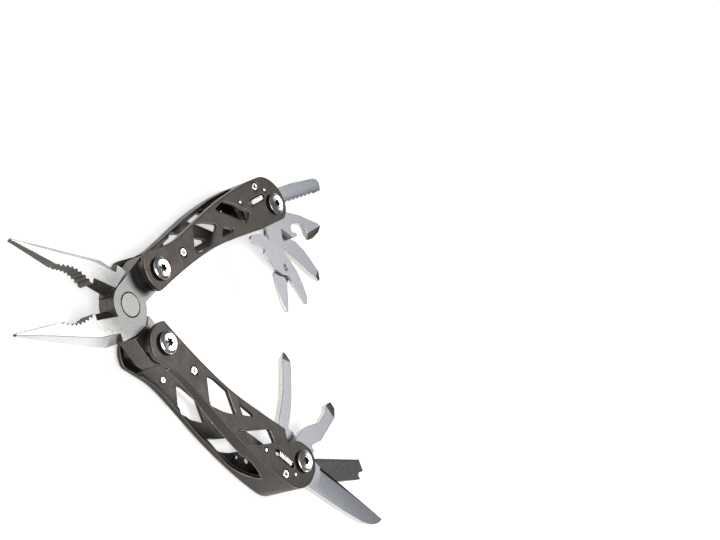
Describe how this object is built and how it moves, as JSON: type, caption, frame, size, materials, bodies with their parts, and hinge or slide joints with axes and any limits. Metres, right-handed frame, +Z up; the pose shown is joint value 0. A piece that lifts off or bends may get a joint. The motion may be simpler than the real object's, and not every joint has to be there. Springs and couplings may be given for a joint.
{
  "type": "multi tool",
  "caption": "Butterfly-opening pocket multi tool: needle-nose pliers between two open-frame channel handles, with locking folding blades, drivers, opener, saw and scissors.",
  "frame": {"origin": "centre of the tool's outline in X and Y, at the height of the surface that it lies on, which its back screw heads touch", "axes": "+Z up out of the surface, along every pivot; -X towards the plier jaws, +X towards the tail pivots of the two spread handles; +Y on the upper handle's side"},
  "size_m": [0.1756, 0.144, 0.0196],
  "materials": {
    "handle_finish": "satin, dark brownish grey with bare bright edges",
    "jaw_steel": "bead-blasted, near white at the tips",
    "rivet_steel": "satin",
    "chrome_screw": "polished",
    "dark_washer": "dark satin",
    "bright_trim": "bright nickel",
    "dark_spring": "blackened spring steel",
    "tool_steel": "satin",
    "blade_steel": "satin, ground along the edge",
    "saw_steel": "black oxide"
  },
  "bodies": {
    "lower_jaw": {"lower_jaw": "jaw_steel", "plier_rivet": "rivet_steel"},
    "upper_jaw": {"upper_jaw": "jaw_steel"},
    "lower_handle": {"lower_frame": "handle_finish", "lower_head_screw": "chrome_screw", "lower_head_nut": "chrome_screw", "lower_tail_screw": "chrome_screw", "lower_tail_nut": "chrome_screw", "lower_head_spacers": "dark_washer", "lower_tool_washers": "dark_washer", "lower_eyelets": "bright_trim", "lower_spring_rivets": "bright_trim", "lower_back_spring": "dark_spring"},
    "upper_handle": {"upper_frame": "handle_finish", "upper_head_screw": "chrome_screw", "upper_head_nut": "chrome_screw", "upper_tail_screw": "chrome_screw", "upper_tail_nut": "chrome_screw", "upper_head_spacers": "dark_washer", "upper_tool_washers": "dark_washer", "upper_eyelets": "bright_trim", "upper_spring_rivets": "bright_trim", "upper_back_spring": "dark_spring"},
    "lower_lock": {"lower_lock_bar": "dark_spring", "lower_lock_buttons": "bright_trim"},
    "upper_lock": {"upper_lock_bar": "dark_spring", "upper_lock_buttons": "bright_trim"},
    "knife_blade": {"knife_blade": "blade_steel"},
    "flat_driver": {"flat_driver": "tool_steel"},
    "cross_driver": {"cross_driver": "tool_steel"},
    "saw": {"saw": "saw_steel"},
    "can_opener": {"can_opener": "tool_steel"},
    "small_driver": {"small_driver": "tool_steel"},
    "serrated_blade": {"serrated_blade": "blade_steel"},
    "scissors": {"scissors_body": "tool_steel", "scissors_rivet": "rivet_steel", "scissors_spring": "tool_steel"},
    "scissors_lever": {"scissors_lever": "tool_steel"}
  },
  "joints": [
    {"name": "plier_pivot", "type": "hinge", "parent": "lower_jaw", "child": "upper_jaw", "pos_m": [-0.04105, -0.00093, 0.0098], "axis": [0, 0, 1], "range_deg": [-4, 35.2]},
    {"name": "upper_handle_fold", "type": "hinge", "parent": "lower_jaw", "child": "upper_handle", "pos_m": [-0.03025, 0.01194, 0.0098], "axis": [0, 0, 1], "range_deg": [0, 165]},
    {"name": "lower_handle_fold", "type": "hinge", "parent": "upper_jaw", "child": "lower_handle", "pos_m": [-0.03025, -0.0138, 0.0098], "axis": [0, 0, -1], "range_deg": [0, 165]},
    {"name": "knife_blade_fold", "type": "hinge", "parent": "lower_handle", "child": "knife_blade", "pos_m": [0.03535, -0.05016, 0.0098], "axis": [0, 0, 1], "range_deg": [-3.5, 174.5]},
    {"name": "flat_driver_fold", "type": "hinge", "parent": "lower_handle", "child": "flat_driver", "pos_m": [0.03535, -0.05016, 0.0098], "axis": [0, 0, 1], "range_deg": [-72, 108]},
    {"name": "cross_driver_fold", "type": "hinge", "parent": "lower_handle", "child": "cross_driver", "pos_m": [0.03535, -0.05016, 0.0098], "axis": [0, 0, 1], "range_deg": [-108.8, 69.2]},
    {"name": "saw_fold", "type": "hinge", "parent": "lower_handle", "child": "saw", "pos_m": [0.03535, -0.05016, 0.0098], "axis": [0, 0, 1], "range_deg": [-31, 149]},
    {"name": "can_opener_fold", "type": "hinge", "parent": "upper_handle", "child": "can_opener", "pos_m": [0.03535, 0.0483, 0.0098], "axis": [0, 0, -1], "range_deg": [-33, 147]},
    {"name": "small_driver_fold", "type": "hinge", "parent": "upper_handle", "child": "small_driver", "pos_m": [0.03535, 0.0483, 0.0098], "axis": [0, 0, -1], "range_deg": [-61, 117]},
    {"name": "serrated_blade_fold", "type": "hinge", "parent": "upper_handle", "child": "serrated_blade", "pos_m": [0.03535, 0.0483, 0.0098], "axis": [0, 0, -1], "range_deg": [-6.6, 173.4]},
    {"name": "scissors_fold", "type": "hinge", "parent": "upper_handle", "child": "scissors", "pos_m": [0.03535, 0.0483, 0.0098], "axis": [0, 0, -1], "range_deg": [0, 73.3]},
    {"name": "scissors_squeeze", "type": "hinge", "parent": "scissors", "child": "scissors_lever", "pos_m": [0.04053, 0.02455, 0.0098], "axis": [0, 0, -1], "range_deg": [0, 40]},
    {"name": "lower_lock_slide", "type": "slide", "parent": "lower_handle", "child": "lower_lock", "axis": [0.8746, -0.4848, 0], "range_m": [-0.0013, 0.0013]},
    {"name": "upper_lock_slide", "type": "slide", "parent": "upper_handle", "child": "upper_lock", "axis": [0.8746, 0.4848, 0], "range_m": [-0.0013, 0.0013]}
  ],
  "couplings": [
    {"joint": "scissors_squeeze", "follows": "scissors_fold", "ratio": 0.49113}
  ]
}
